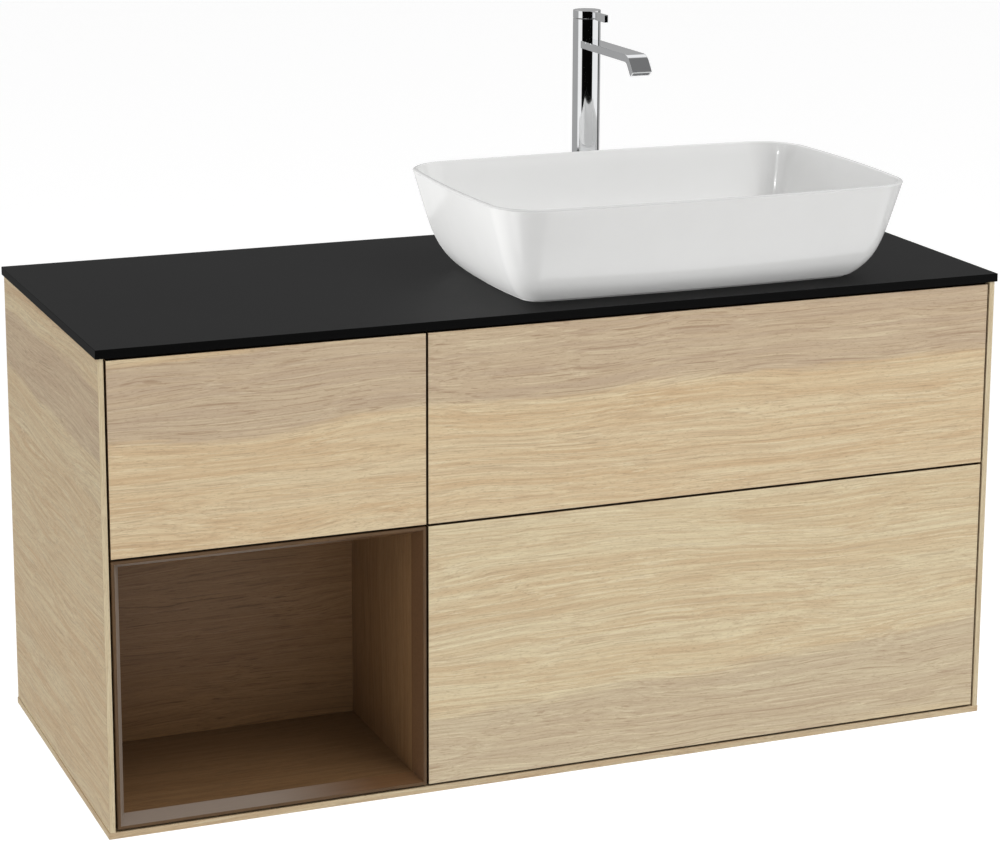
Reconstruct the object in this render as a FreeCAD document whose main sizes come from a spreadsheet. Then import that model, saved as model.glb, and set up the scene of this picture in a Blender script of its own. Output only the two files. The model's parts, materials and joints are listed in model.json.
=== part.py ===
import FreeCAD, Part
import math
import os
import re
import Sketcher

# Wall-hung vanity with a vessel basin and a tall lever tap. Millimetres.
# X runs along the wall, Y points to the wall and is 0 on it, Z is up.
# Heights in the formulas are measured from the cabinet's underside, and every piece is then
# lowered by fixingLevel, so that the row's origin is the middle of the wall fixing pattern.

doc = FreeCAD.newDocument("vanity")
sheet = doc.addObject("Spreadsheet::Sheet", "dims")

driving = {
    # carcass
    "cabinetWidth": 1200,
    "cabinetDepth": 501,
    "cabinetHeight": 603,
    "worktopThickness": 11,
    "board": 16,
    "sideInset": 3,
    "sideEdge": 7,
    "bottomInset": 2,
    "bottomEdge": 8,
    "fixingDrop": 58,
    "railHeight": 80,
    "railSetback": 18,
    "frontRailDepth": 80,
    # fronts
    "frontSetback": 2,
    "frontThickness": 18,
    "frontGap": 3,
    "bumperGap": 2,
    "upperFrontHeight": 240,
    "leftFrontWidth": 394,
    "partitionShift": 1.5,
    # open niche
    "nicheBevel": 12.5,
    "nicheBevelDepth": 19,
    "nicheLip": 1,
    "nicheWall": 6.5,
    "nicheDepth": 247,
    # drawer boxes and runners
    "boxRearGap": 27,
    "boxLift": 16,
    "upperHeadroom": 75,
    "lowerHeadroom": 105,
    "boxSideGap": 11,
    "boxSide": 13,
    "recessHalfWidth": 85,
    "recessFront": 75,
    "recessBoard": 12,
    "railSheet": 2,
    "runnerStart": 22,
    "runnerEndGap": 16,
    "runnerFloorGap": 0.5,
    "runnerShelf": 34,
    "runnerLevel": 5.5,
    "runnerWall": 36,
    "midRailOffset": 17,
    "midRailWidth": 14,
    "midRailHeight": 5,
    "railClearance": 0.8,
    # push latches
    "latchOffset": 60,
    "latchWidth": 24,
    "latchDepth": 14,
    "latchHeight": 15,
    "plungerRadius": 4,
    "plungerTravel": 3,
    "plungerGap": 0.3,
    # hanging gear
    "plateInset": 41,
    "plateWidth": 56,
    "plateHeight": 50,
    "plateSheet": 2.5,
    "holePitch": 24,
    "fixingHoleRadius": 4,
    "hookDepth": 7,
    "hookHeight": 8.5,
    "hookThickness": 5.5,
    "plateLip": 8,
    "bracketThickness": 9,
    "bracketLength": 52,
    "bracketBelow": 30,
    "bracketAbove": 40,
    # basin
    "basinShift": 12.9,
    "basinOverhang": 24.9,
    "basinLength": 580,
    "basinWidth": 388,
    "basinHeight": 130,
    "basinCornerTop": 62,
    "basinCornerFoot": 24,
    "basinBow": 5,
    "basinDraft": 36.5,
    "basinHeel": 28,
    "basinSideStretch": 1.18,
    "basinWall": 7.5,
    "basinFloor": 20,
    "basinFootHeight": 3,
    "basinFootInset": 5,
    "basinRimRound": 2.8,
    "footWidth": 22,
    "footHollow": 7,
    "sealThickness": 1,
    # waste and trap
    "wasteFlangeRadius": 33,
    "wasteFlangeDrop": 3,
    "wasteTubeWall": 3,
    "wasteTubeLength": 78,
    "wasteClearance": 2.5,
    "wasteNutSpread": 11,
    "wasteNutHeight": 12,
    "coverRadius": 30,
    "coverLift": 4,
    "pipeRadius": 16,
    "pipeWall": 1.5,
    "pipePlay": 2,
    "tailpipeOverlap": 25,
    "slipClearance": 0.2,
    "trapDrop": 80,
    "trapSpread": 15,
    "trapWall": 3,
    "trapShoulder": 16,
    "trapCupDepth": 58,
    "trapInletDip": 100,
    "trapNeckWall": 4,
    "trapStubReach": 24,
    "rosetteRadius": 36,
    "rosetteDepth": 8,
    # tap
    "tapBehindBasin": 32.9,
    "columnRadius": 18.8,
    "tapHeight": 316.3,
    "capHeight": 10.2,
    "capGap": 0.9,
    "tapSeal": 1,
    "leverWidth": 5.5,
    "leverReach": 65,
    "columnWall": 3.8,
    "cartridgeHeight": 34,
    "carrierHeight": 4,
    "spoutWidth": 28,
    "spoutThickness": 10.2,
    "spoutTop": 276.3,
    "spoutReach": 182,
    "spoutBend": 165.6,
    "spoutDrop": 20.8,
    "spoutSkin": 2.4,
    "spoutBendRadius": 20,
    "spoutInnerLess": 6,
    "aeratorLength": 5,
    "waterwayRadius": 9,
    "stemRadius": 3.5,
    "stemWell": 8,
    "carrierLedge": 2.8,
    "shankRadius": 11.8,
    "shankLength": 62,
    "shankGrip": 12,
    "inletHoleRadius": 4.5,
    "inletPitch": 11,
    "tapHoleRadius": 17.5,
    "tapNutReach": 19,
    "tapNutHeight": 10,
    "washerThickness": 3,
    "washerLap": 7,
}

# lengths that follow from the driving ones, as formulas
derived = {
    "half": "cabinetWidth / 2",
    "sideOuter": "half - sideInset",
    "sideInner": "sideOuter - board",
    "frontFace": "-(cabinetDepth - frontSetback)",
    "frontBack": "frontFace + frontThickness",
    "carcassFront": "frontBack + bumperGap",
    "worktopUnder": "cabinetHeight - worktopThickness",
    "fixingLevel": "cabinetHeight - fixingDrop",
    "plateOffset": "sideInner - plateInset",
    "upperTop": "worktopUnder - frontGap",
    "upperLow": "upperTop - upperFrontHeight",
    "lowerTop": "upperLow - frontGap",
    "lowerLow": "bottomEdge + frontGap",
    "leftFrontLow": "-(sideOuter - sideEdge - frontGap)",
    "leftFrontHigh": "leftFrontLow + leftFrontWidth",
    "rightFrontLow": "leftFrontHigh + frontGap",
    "rightFrontHigh": "sideOuter - sideEdge - frontGap",
    "partitionLow": "leftFrontHigh + frontGap / 2 - board / 2 + partitionShift",
    "partitionHigh": "partitionLow + board",
    "railBack": "-railSetback",
    "railFront": "railBack - board",
    "boxBack": "railFront - boxRearGap",
    "upperBoxHeight": "upperFrontHeight - upperHeadroom",
    "lowerBoxHeight": "lowerTop - lowerLow - lowerHeadroom",
    "lowerLift": "board + runnerFloorGap - runnerLevel",
    "basinX": "(rightFrontLow + rightFrontHigh) / 2 - basinShift",
    "basinY": "basinWidth / 2 - cabinetDepth - basinOverhang",
    "tapY": "basinY + basinWidth / 2 + tapBehindBasin",
    "recessLow": "basinX - recessHalfWidth",
    "recessHigh": "basinX + recessHalfWidth",
    "recessEnd": "basinY - recessFront",
    "runnerFront": "frontFace + runnerStart",
    "runnerEnd": "boxBack - runnerEndGap",
    "basinFoot": "cabinetHeight + sealThickness",
    "basinTop": "cabinetHeight + basinHeight",
    "floorTop": "cabinetHeight + basinFloor",
    "flangeTop": "floorTop - wasteFlangeDrop",
    "wasteBore": "pipeRadius + pipePlay",
    "wasteTubeRadius": "wasteBore + wasteTubeWall",
    "wasteEnd": "flangeTop - wasteTubeLength",
    "trapLevel": "wasteEnd - trapDrop",
    "trapRadius": "pipeRadius + trapSpread",
    "trapTop": "trapLevel + pipeRadius + trapShoulder",
    "trapJoint": "trapLevel - pipeRadius - trapShoulder",
    "trapBottom": "trapJoint - trapCupDepth",
    "trapNeckRadius": "pipeRadius + trapNeckWall",
    "tapTop": "cabinetHeight + tapHeight",
    "capLow": "tapTop - capHeight",
    "columnTop": "capLow - capGap",
    "columnLow": "cabinetHeight + tapSeal",
    "cartridgeRadius": "columnRadius - columnWall",
    "carrierRadius": "cartridgeRadius - carrierLedge",
    "cartridgeTop": "columnTop - carrierHeight - 1",
    "cartridgeLow": "cartridgeTop - cartridgeHeight",
    "spoutHigh": "cabinetHeight + spoutTop",
    "spoutLow": "spoutHigh - spoutThickness",
}

for row, (alias, number) in enumerate(driving.items(), start=1):
    sheet.set(f"A{row}", alias)
    sheet.set(f"B{row}", str(number))
    sheet.setAlias(f"B{row}", alias)
doc.recompute()

nodes = []


def formula(text):
    """Spell a formula out in cells of the sheet."""
    def spell(match):
        word = match.group()
        if word in derived:
            return "(" + formula(derived[word]) + ")"
        return "dims." + word if word in driving else word
    return re.sub(r"[A-Za-z]\w*", spell, str(text))


def value(text):
    """Number that a formula gives."""
    return float(sheet.evalExpression(formula(text)))


def bind(thing, prop, text):
    thing.setExpression(prop, formula(text))


def at(thing, x, y, z):
    """Bind a piece's place, with its height measured from the cabinet's underside."""
    bind(thing, ".Placement.Base.x", x)
    bind(thing, ".Placement.Base.y", y)
    bind(thing, ".Placement.Base.z", f"{z} - fixingLevel")


def block(name, x, y, z):
    """Box between low and high formulas along each axis."""
    solid = doc.addObject("Part::Box", name)
    for prop, (low, high) in (("Length", x), ("Width", y), ("Height", z)):
        bind(solid, prop, f"({high}) - ({low})")
    at(solid, x[0], y[0], z[0])
    return solid


def rod(name, radius, length, x, y, z, turn=None):
    """Cylinder that stands on a point, along Z or turned to another direction."""
    solid = doc.addObject("Part::Cylinder", name)
    bind(solid, "Radius", radius)
    bind(solid, "Height", length)
    if turn:
        solid.Placement.Rotation = turn
    at(solid, x, y, z)
    return solid


def fuse(name, pieces):
    joined = doc.addObject("Part::MultiFuse", name)
    joined.Shapes = pieces
    joined.Refine = True
    return joined


def cut(name, base, tools):
    result = doc.addObject("Part::Cut", name)
    result.Base = base
    result.Tool = tools[0] if len(tools) == 1 else fuse(name + "Tools", tools)
    result.Refine = True
    return result


def group(name, pieces):
    """Several separate solids that are one node."""
    bundle = doc.addObject("Part::Compound", name)
    bundle.Links = pieces
    return bundle


def node(label, piece):
    piece.Label = label
    nodes.append(piece)
    return piece


def drawProfile(body, role, corners):
    """Closed outline of straight lines whose corners are bound to the sheet."""
    sketch = body.newObject("Sketcher::SketchObject", body.Name + "Profile")
    plane = [part for part in body.Origin.OriginFeatures if part.Role == role][0]
    sketch.AttachmentSupport = [(plane, "")]
    sketch.MapMode = "FlatFace"
    points = [FreeCAD.Vector(value(x), value(y), 0) for x, y in corners]
    count = len(points)
    for i in range(count):
        sketch.addGeometry(Part.LineSegment(points[i], points[(i + 1) % count]), False)
    for i, (x, y) in enumerate(corners):
        sketch.addConstraint(Sketcher.Constraint("Coincident", i, 2, (i + 1) % count, 1))
        for kind, text, axis in (("DistanceX", x, -2), ("DistanceY", y, -1)):
            if text == "0":
                sketch.addConstraint(Sketcher.Constraint("PointOnObject", i, 1, axis))
                continue
            number = sketch.addConstraint(Sketcher.Constraint(kind, -1, 1, i, 1, value(text)))
            sketch.setExpression(f"Constraints[{number}]", formula(text))
    return sketch


def turned(label, corners, x, y, z, turn=None):
    """Lathe-turned piece: corners are (radius, height) pairs about its own axis."""
    body = doc.addObject("PartDesign::Body", label + "Body")
    sketch = drawProfile(body, "XZ_Plane", corners)
    spin = body.newObject("PartDesign::Revolution", label + "Spin")
    spin.Profile = sketch
    spin.ReferenceAxis = (sketch, ["V_Axis"])
    spin.Angle = 360
    if turn:
        body.Placement.Rotation = turn
    at(body, x, y, z)
    return body


def tube(inner, outer, low, high):
    """Corners of a plain ring for turned()."""
    return [(inner, low), (outer, low), (outer, high), (inner, high)]


def hexNut(name, across, low, high, bore, x, y):
    """Six-sided nut round an upright axis; across is its radius over the corners."""
    prism = doc.addObject("Part::Prism", name + "Blank")
    prism.Polygon = 6
    bind(prism, "Circumradius", across)
    bind(prism, "Height", f"({high}) - ({low})")
    at(prism, x, y, low)
    return cut(name, prism, [rod(name + "Bore", bore, f"({high}) - ({low})", x, y, low)])


towardWall = FreeCAD.Rotation(FreeCAD.Vector(1, 0, 0), -90)
towardFront = FreeCAD.Rotation(FreeCAD.Vector(1, 0, 0), 90)


# ---- carcass ----

def makeCarcass():
    top = block("worktopBlank", ("-half", "half"), ("-cabinetDepth", "0"),
                ("worktopUnder", "cabinetHeight"))
    holes = [
        rod("wasteHole", "wasteTubeRadius + wasteClearance + 2", "worktopThickness",
            "basinX", "basinY", "worktopUnder"),
        rod("tapHole", "tapHoleRadius", "worktopThickness", "basinX", "tapY", "worktopUnder"),
    ]
    node("worktop", cut("worktopCut", top, holes))

    for name, low, high, lipLow, lipHigh in (
        ("left", "-sideOuter", "-sideInner", "-sideOuter", "-(sideOuter - sideEdge)"),
        ("right", "sideInner", "sideOuter", "sideOuter - sideEdge", "sideOuter"),
    ):
        wall = block(name + "SideWall", (low, high), ("carcassFront", "0"),
                     ("bottomEdge", "worktopUnder"))
        lip = block(name + "SideLip", (lipLow, lipHigh), ("frontFace", "carcassFront"),
                    ("bottomEdge", "worktopUnder"))
        node(name + "_side_panel", fuse(name + "SidePanel", [wall, lip]))

    tray = block("bottomSheet", ("-(half - bottomInset)", "half - bottomInset"),
                 ("frontFace", "0"), ("0", "bottomEdge"))
    core = block("bottomCore", ("-sideInner", "sideInner"), ("carcassFront", "0"),
                 ("bottomEdge", "board"))
    node("bottom_panel", fuse("bottomPanel", [tray, core]))

    node("centre_partition", block("partition", ("partitionLow", "partitionHigh"),
                                   ("carcassFront", "railFront"), ("board", "worktopUnder - board")))
    node("front_rail", block("frontRail", ("-sideInner", "sideInner"),
                             ("carcassFront", "carcassFront + frontRailDepth"),
                             ("worktopUnder - board", "worktopUnder")))
    node("rear_rail", block("rearRail", ("-sideInner", "sideInner"), ("railFront", "railBack"),
                            ("board", "board + railHeight")))

    rail = block("hangingRailBlank", ("-sideInner", "sideInner"), ("railFront", "railBack"),
                 ("worktopUnder - railHeight", "worktopUnder"))
    notchIn = "plateOffset - plateWidth / 2 - 4"
    notchLow = "fixingLevel - plateHeight / 2 + 5"
    notches = [
        block("railNotchLeft", ("-sideInner", f"-({notchIn})"), ("railFront", "railBack"),
              (notchLow, "worktopUnder")),
        block("railNotchRight", (notchIn, "sideInner"), ("railFront", "railBack"),
              (notchLow, "worktopUnder")),
    ]
    node("hanging_rail", cut("hangingRail", rail, notches))


# ---- open niche: a bevelled front frame with mitred corners, and thin walls behind it ----

def nicheRail(name, length, x, z, turn):
    """One mitred rail; its outer face is on the given point and turn spins it about Y."""
    depth = "nicheBevelDepth + 0.5"
    width = "nicheBevel"
    stages = (
        ("Lip", "0", "nicheLip", length, depth, f"({length}) - 2 * nicheLip", depth),
        ("Slope", "nicheLip", width, f"({length}) - 2 * nicheLip", depth,
         f"({length}) - 2 * {width}", "0.5"),
    )
    parts = []
    for suffix, low, high, baseLength, baseDepth, endLength, endDepth in stages:
        wedge = doc.addObject("Part::Wedge", name + suffix)
        bind(wedge, "Xmin", f"-({baseLength}) / 2")
        bind(wedge, "Xmax", f"({baseLength}) / 2")
        bind(wedge, "X2min", f"-({endLength}) / 2")
        bind(wedge, "X2max", f"({endLength}) / 2")
        bind(wedge, "Ymin", low)
        bind(wedge, "Ymax", high)
        wedge.Zmin = 0
        wedge.Z2min = 0
        bind(wedge, "Zmax", baseDepth)
        bind(wedge, "Z2max", endDepth)
        wedge.Placement.Rotation = FreeCAD.Rotation(FreeCAD.Vector(0, 1, 0), turn) * towardFront
        at(wedge, x, f"frontFace + {depth}", z)
        parts.append(wedge)
    return fuse(name, parts)


def makeNiche():
    midX = "(leftFrontLow + leftFrontHigh) / 2"
    midZ = "(lowerLow + lowerTop) / 2"
    wide = "leftFrontWidth"
    tall = "lowerTop - lowerLow"
    rails = [
        nicheRail("nicheRailLow", wide, midX, "lowerLow", 0),
        nicheRail("nicheRailHigh", wide, midX, "lowerTop", 180),
        nicheRail("nicheRailLeft", tall, "leftFrontLow", midZ, 90),
        nicheRail("nicheRailRight", tall, "leftFrontHigh", midZ, -90),
    ]
    node("niche_frame", group("nicheFrame", rails))

    front = "frontFace + nicheBevelDepth + 0.5"
    back = "frontFace + nicheDepth"
    left = "leftFrontLow + nicheBevel"
    right = "leftFrontHigh - nicheBevel"
    floor = "lowerLow + nicheBevel"
    ceiling = "lowerTop - nicheBevel"
    node("niche_floor", block("nicheFloor", (left, right), (front, back), ("board", floor)))
    node("niche_ceiling", block("nicheCeiling", (left, right), (front, back),
                                (ceiling, f"{ceiling} + nicheWall")))
    node("niche_left_wall", block("nicheLeft", ("-sideInner", left), (front, back),
                                  ("board", f"{ceiling} + nicheWall")))
    node("niche_right_wall", block("nicheRight", (right, "partitionLow"), (front, back),
                                   ("board", f"{ceiling} + nicheWall")))
    node("niche_back_panel", block("nicheBack", ("-sideInner", "partitionLow"),
                                   (back, f"{back} + nicheWall"),
                                   ("board", f"{ceiling} + nicheWall")))


# ---- hanging gear ----

def makeHangers():
    plateTop = "fixingLevel + plateHeight / 2"
    lipFront = "-(plateSheet + hookDepth)"
    plates = []
    brackets = []
    for name, sign in (("left", -1), ("right", 1)):
        centre = f"{sign} * plateOffset"
        across = (f"{centre} - plateWidth / 2", f"{centre} + plateWidth / 2")
        sheetMetal = fuse(name + "PlateBlank", [
            block(name + "PlateBack", across, ("-plateSheet", "0"),
                  ("fixingLevel - plateHeight / 2", plateTop)),
            block(name + "PlateShelf", across, (lipFront, "-plateSheet"),
                  (f"{plateTop} - plateSheet", plateTop)),
            block(name + "PlateLip", across, (lipFront, f"{lipFront} + plateSheet"),
                  (plateTop, f"{plateTop} + plateLip")),
        ])
        holes = [
            rod(f"{name}FixingHole{way}", "fixingHoleRadius", "plateSheet", centre, "-plateSheet",
                f"fixingLevel + {way} * holePitch / 2", towardWall)
            for way in (-1, 1)
        ]
        plates.append(cut(name + "Plate", sheetMetal, holes))

        inner, outer = f"{sign} * (plateOffset - 12)", f"{sign} * sideInner"
        body = f"{sign} * (sideInner - bracketThickness)"
        spans = [(inner, outer), (body, outer)]
        spans = [span if sign > 0 else span[::-1] for span in spans]
        armLow = f"{plateTop} + hookHeight"
        brackets.append(fuse(name + "Bracket", [
            block(name + "BracketBody", spans[1], ("railFront - bracketLength", "railFront"),
                  ("fixingLevel - bracketBelow", "fixingLevel + bracketAbove")),
            block(name + "BracketArm", spans[0], ("railFront - 20", "-plateSheet - 0.5"),
                  (armLow, f"{armLow} + hookThickness")),
            block(name + "BracketHook", spans[0],
                  (f"{lipFront} + plateSheet + 0.4", "-plateSheet - 0.5"),
                  (plateTop, armLow)),
        ]))
    node("wall_plates", group("wallPlates", plates))
    node("hanger_brackets", group("hangerBrackets", brackets))


# ---- drawers ----

drawers = {
    "upper_left": dict(x=("leftFrontLow", "leftFrontHigh"), z=("upperLow", "upperTop"),
                       bay=("-sideInner", "partitionLow"), lift="upperLow", tall="upperBoxHeight",
                       recess=False, latchX="partitionLow - latchOffset",
                       rail="worktopUnder - railHeight"),
    "upper_right": dict(x=("rightFrontLow", "rightFrontHigh"), z=("upperLow", "upperTop"),
                        bay=("partitionHigh", "sideInner"), lift="upperLow", tall="upperBoxHeight",
                        recess=True, latchX="partitionHigh + latchOffset",
                        rail="worktopUnder - railHeight"),
    "lower_right": dict(x=("rightFrontLow", "rightFrontHigh"), z=("lowerLow", "lowerTop"),
                        bay=("partitionHigh", "sideInner"), lift="lowerLift", tall="lowerBoxHeight",
                        recess=False, latchX="partitionHigh + latchOffset",
                        rail="board + latchHeight"),
}


def railSection(name, bay, sections, lift):
    """A pair of mirrored rails; sections are (from, to, low, high) off the bay's walls."""
    ends = ("runnerFront", "runnerEnd")
    pair = []
    for side, wall, sign in (("Left", bay[0], 1), ("Right", bay[1], -1)):
        parts = []
        for i, (near, far, low, high) in enumerate(sections):
            span = (f"{wall} + {near}", f"{wall} + {far}")
            if sign < 0:
                span = (f"{wall} - ({far})", f"{wall} - ({near})")
            parts.append(block(f"{name}{side}{i}", span, ends,
                               (f"{lift} + {low}", f"{lift} + {high}")))
        pair.append(parts[0] if len(parts) == 1 else fuse(name + side, parts))
    return pair


def makeDrawer(name, spec):
    lift = spec["lift"]
    left, right = spec["bay"]
    node(name + "_drawer_front", block(name + "Front", spec["x"], ("frontFace", "frontBack"),
                                       spec["z"]))
    low = f"{lift} + boxLift"
    high = f"{low} + {spec['tall']}"
    along = ("frontBack", "boxBack")
    inner = (f"{left} + boxSideGap + boxSide", f"{right} - boxSideGap - boxSide")
    sides = [
        block(name + "SideLeft", (f"{left} + boxSideGap", inner[0]), along, (low, high)),
        block(name + "SideRight", (inner[1], f"{right} - boxSideGap"), along, (low, high)),
    ]
    node(name + "_drawer_sides", group(name + "Sides", sides))

    base = block(name + "Base", inner, along, (low, f"{low} + board"))
    walls = (f"{low} + board", high)
    rear = ("boxBack - board", "boxBack")
    if spec["recess"]:
        notch = block(name + "Notch", ("recessLow", "recessHigh"), ("recessEnd", "boxBack"),
                      (low, f"{low} + board"))
        base = cut(name + "BaseCut", base, [notch])
        outside = ("recessLow - recessBoard", "recessHigh + recessBoard")
        back = fuse(name + "Back", [
            block(name + "BackLeft", (inner[0], "recessLow"), rear, walls),
            block(name + "BackRight", ("recessHigh", inner[1]), rear, walls),
            block(name + "RecessLeft", (outside[0], "recessLow"), ("recessEnd", "boxBack"), walls),
            block(name + "RecessRight", ("recessHigh", outside[1]), ("recessEnd", "boxBack"), walls),
            block(name + "RecessFront", outside, ("recessEnd - recessBoard", "recessEnd"), walls),
        ])
    else:
        back = block(name + "Back", inner, rear, walls)
    node(name + "_drawer_bottom", base)
    node(name + "_drawer_back", back)

    sheetEnd = "runnerLevel + railSheet"
    midLow = f"{sheetEnd} + railClearance"
    midHigh = f"{midLow} + midRailHeight"
    midFar = "midRailOffset + midRailWidth"
    node(name + "_mid_rails", group(name + "MidRails", railSection(
        name + "Mid", spec["bay"], [("midRailOffset", midFar, midLow, midHigh)], lift)))
    skirtNear = "midRailOffset - railClearance - railSheet"
    skirtFar = f"{midFar} + railClearance"
    capLow = f"{midHigh} + railClearance"
    node(name + "_drawer_rails", group(name + "DrawerRails", railSection(name + "DrawerRail", spec["bay"], [
        (skirtNear, f"{skirtFar} + railSheet", capLow, "boxLift"),
        (skirtNear, f"{skirtNear} + railSheet", midLow, capLow),
        (skirtFar, f"{skirtFar} + railSheet", midLow, capLow),
    ], lift)))
    shelf = [("0", "runnerShelf + 2", "runnerLevel", sheetEnd),
             ("0", "railSheet", sheetEnd, "runnerWall")]
    fixedRails.extend(railSection(name + "Shelf", spec["bay"], shelf, lift))

    latchLow = spec["rail"]
    centreX, centreZ = spec["latchX"], f"{latchLow} + latchHeight / 2"
    case = block(name + "LatchCase", (f"{centreX} - latchWidth / 2", f"{centreX} + latchWidth / 2"),
                 ("railFront - latchDepth", "railFront"), (latchLow, f"{latchLow} + latchHeight"))
    bore = rod(name + "LatchBore", "plungerRadius + 0.1", "latchDepth - 2", centreX,
               "railFront - latchDepth", centreZ, towardWall)
    latchCases.append(cut(name + "Latch", case, [bore]))
    plungerEnd = "railFront - 2 - plungerTravel - 0.5"
    node(name + "_latch_plunger", rod(
        name + "Plunger", "plungerRadius", f"({plungerEnd}) - (boxBack + plungerGap)",
        centreX, "boxBack + plungerGap", centreZ, towardWall))


fixedRails = []
latchCases = []


# ---- basin: bowed rectangular rings at rising heights, joined by a smooth loft ----

def basinRing(halfX, halfY, corner, height):
    """Closed smooth curve: a rectangle with round corners and gently bowed sides."""
    bow = value("basinBow")
    spanX = halfX - bow - corner
    spanY = halfY - bow - corner
    points = []
    for quarter, (signX, signY) in enumerate(((1, 1), (-1, 1), (-1, -1), (1, -1))):
        for step in range(5):
            angle = math.radians(90 * quarter + 22.5 * step)
            points.append((signX * spanX + corner * math.cos(angle),
                           signY * spanY + corner * math.sin(angle)))
        turn = 1 if quarter < 2 else -1
        for share in (0.6, 0.2, -0.2, -0.6):
            swell = bow * (1 - share * share)
            if quarter % 2 == 0:
                points.append((turn * spanX * share, signY * (spanY + corner + swell)))
            else:
                points.append((signX * (spanX + corner + swell), turn * spanY * share))
    curve = Part.BSplineCurve()
    curve.interpolate([FreeCAD.Vector(x, y, height) for x, y in points], PeriodicFlag=True)
    return Part.Wire(curve.toShape())


def basinOutline(low, height, extra):
    """Ring of the wall at a height, for a skin that starts at low and stands extra mm inside."""
    rise = value("basinHeight")
    climb = (height - low) / (rise - low)
    inset = value("basinDraft") * (1 - height / rise) + value("basinHeel") * (1 - climb) ** 6
    corner = value("basinCornerFoot") + (value("basinCornerTop") - value("basinCornerFoot")) * climb
    halfX = value("basinLength") / 2 - inset - extra
    halfY = value("basinWidth") / 2 - inset * value("basinSideStretch") - extra
    return basinRing(halfX, halfY, corner - min(extra, corner / 3), height)


def basinSkin(low, extra):
    """Solid up to the rim, bounded by one skin of the basin's wall."""
    rise = value("basinHeight")
    climbs = (0, 0.02, 0.06, 0.12, 0.2, 0.32, 0.5, 0.75, 1)
    rings = [basinOutline(low, low + (rise - low) * climb, extra) for climb in climbs]
    return Part.makeLoft(rings, True, False)


def basinPad(low, high, extra):
    """Straight-sided pad in the foot's outline."""
    foot = value("sealThickness + basinFootHeight")
    ring = basinOutline(foot, foot, extra)
    ring.translate(FreeCAD.Vector(0, 0, low - foot))
    return Part.Face(ring).extrude(FreeCAD.Vector(0, 0, high - low))


def shaped(name, shape, x, y, z):
    """Piece whose shape is worked out from the sheet's values."""
    piece = doc.addObject("Part::Feature", name)
    piece.Shape = shape
    piece.Placement.Base = FreeCAD.Vector(value(x), value(y), value(f"{z} - fixingLevel"))
    return piece


def makeBasin():
    seal = value("sealThickness")
    foot = seal + value("basinFootHeight")
    floor = value("basinFloor")
    inset = value("basinFootInset")
    drop = value("wasteFlangeDrop")
    up = FreeCAD.Vector(0, 0, 1)
    bowl = basinSkin(foot, 0).fuse(basinPad(seal, foot, inset))
    bowl = bowl.cut(basinSkin(floor, value("basinWall")))
    bowl = bowl.cut(basinPad(seal, seal + value("footHollow"), inset + value("footWidth")))
    hole = Part.makeCylinder(value("wasteTubeRadius + wasteClearance"), floor + 1,
                             FreeCAD.Vector(0, 0, 0), up)
    seat = Part.makeCylinder(value("wasteFlangeRadius + slipClearance"), drop + 1,
                             FreeCAD.Vector(0, 0, floor - drop), up)
    bowl = bowl.cut(hole.fuse(seat))
    rim = value("basinHeight")
    edges = [edge for edge in bowl.Edges if abs(edge.BoundBox.ZMin - rim) < 0.01]
    bowl = bowl.makeFillet(value("basinRimRound"), edges)
    node("basin", shaped("basinShape", bowl, "basinX", "basinY", "cabinetHeight"))
    ring = basinPad(0, seal, inset + 1).cut(basinPad(0, seal, inset + value("footWidth") - 1))
    node("basin_seal", shaped("basinSealShape", ring, "basinX", "basinY", "cabinetHeight"))


# ---- waste, bottle trap and outlet pipe ----

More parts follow.
